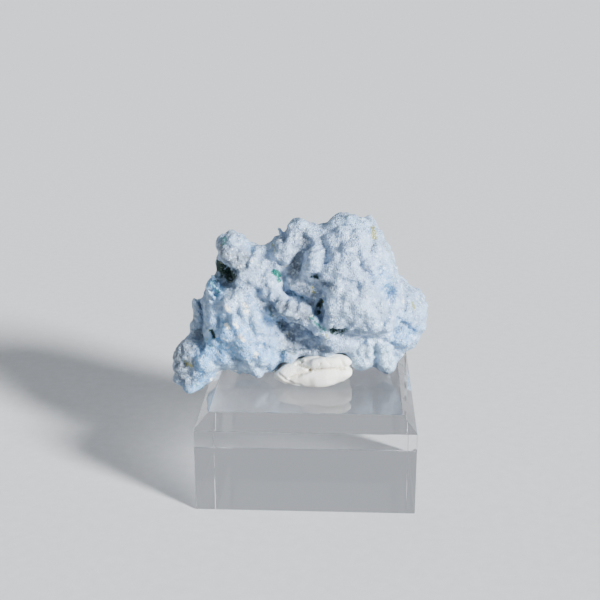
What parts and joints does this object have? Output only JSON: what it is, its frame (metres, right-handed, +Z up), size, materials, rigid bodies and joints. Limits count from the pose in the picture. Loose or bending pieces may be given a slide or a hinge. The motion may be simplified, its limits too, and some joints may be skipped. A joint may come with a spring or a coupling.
{
  "type": "gibbsite specimen on a block",
  "caption": "Pale blue botryoidal gibbsite specimen, held upright by a pad of putty on a clear square block with a bevelled top.",
  "frame": {"origin": "centre of the square block's underside, which rests on the table", "axes": "+Z up, -Y towards the viewer of the picture, +X to that viewer's right"},
  "size_m": [0.0619, 0.05, 0.0637],
  "materials": {
    "gibbsite": "finely crystalline, pale blue to white, with green and yellow specks",
    "putty": "matte off-white",
    "clear_acrylic": "clear, polished"
  },
  "bodies": {
    "root": {"gibbsite": "gibbsite", "putty": "putty", "acrylic_base": "clear_acrylic"}
  },
  "joints": []
}
